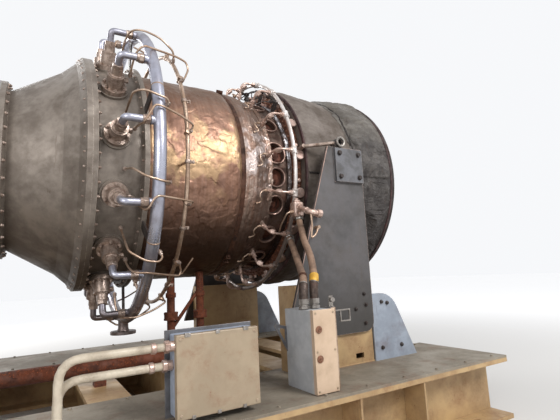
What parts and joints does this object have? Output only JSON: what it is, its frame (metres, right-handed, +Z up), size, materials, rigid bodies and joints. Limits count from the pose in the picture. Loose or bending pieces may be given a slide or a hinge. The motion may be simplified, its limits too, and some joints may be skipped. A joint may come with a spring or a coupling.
{
  "type": "industrial gas turbine engine on its skid",
  "caption": "Industrial gas turbine engine with foil-wrapped casings, ring fuel manifolds, ported turbine casing and exhaust blankets, on trunnion plates over a steel skid.",
  "frame": {"origin": "bottom centre of the skid, on the floor", "axes": "+X along the engine from air inlet to exhaust, +Z up, the side with the junction boxes at -Y"},
  "size_m": [4.3, 2.5, 2.4801],
  "materials": {
    "skid_paint": "worn cream paint",
    "deck_plate": "worn cream paint, dirty",
    "casting": "grey cast casing, dull",
    "dark_casting": "heat-darkened casting",
    "vane_steel": "satin",
    "manifold_steel": "satin silver-grey tube",
    "heat_tinted_steel": "tan heat tint, satin",
    "foil_wrap": "crumpled heat-tinted foil, glossy",
    "rusty_steel": "rusty brown",
    "pale_tube": "off-white, semi-gloss",
    "blanket": "matte grey-brown insulation cloth",
    "plate_steel": "dull grey, worn edges",
    "gusset_paint": "pale blue-grey paint",
    "box_paint": "cream paint, semi-gloss",
    "hose_sleeve": "sleeved hose, matte"
  },
  "bodies": {
    "root": {"skid_rails": "skid_paint", "skid_cross_beams": "skid_paint", "deck_plates": "deck_plate", "front_support": "skid_paint", "bellmouth": "casting", "inlet_case": "casting", "inlet_hub": "dark_casting", "guide_vanes": "vane_steel", "compressor_case_front": "casting", "compressor_case_rear": "casting", "vane_ring": "vane_steel", "diffuser_case": "casting", "burner_case": "casting", "injectors": "manifold_steel", "main_manifold": "manifold_steel", "manifold_brackets": "manifold_steel", "injector_feeds": "manifold_steel", "pilot_ring": "heat_tinted_steel", "pilot_tubes": "heat_tinted_steel", "combustor_case": "foil_wrap", "clamp_band": "rusty_steel", "turbine_case": "foil_wrap", "port_case": "dark_casting", "port_plugs": "rusty_steel", "fuel_manifold": "pale_tube", "fuel_nozzles": "heat_tinted_steel", "pigtails": "heat_tinted_steel", "rear_flange_ring": "rusty_steel", "boss_discs": "heat_tinted_steel", "top_bosses": "dark_casting", "exhaust_duct": "dark_casting", "exhaust_blanket_front": "blanket", "exhaust_blanket_rear": "blanket", "exhaust_cone": "dark_casting", "exhaust_struts": "dark_casting", "trunnions": "dark_casting", "support_plates": "plate_steel", "trunnion_pads": "plate_steel", "lifting_eyes": "plate_steel", "pedestals": "skid_paint", "gussets": "gusset_paint", "tie_rods": "heat_tinted_steel", "box_small": "box_paint", "box_small_cover": "box_paint", "box_large": "box_paint", "box_mounts": "skid_paint", "conduits": "box_paint", "fuel_hoses": "hose_sleeve", "hose_valve": "heat_tinted_steel", "drain_header": "rusty_steel", "drain_risers": "rusty_steel"}
  },
  "joints": []
}
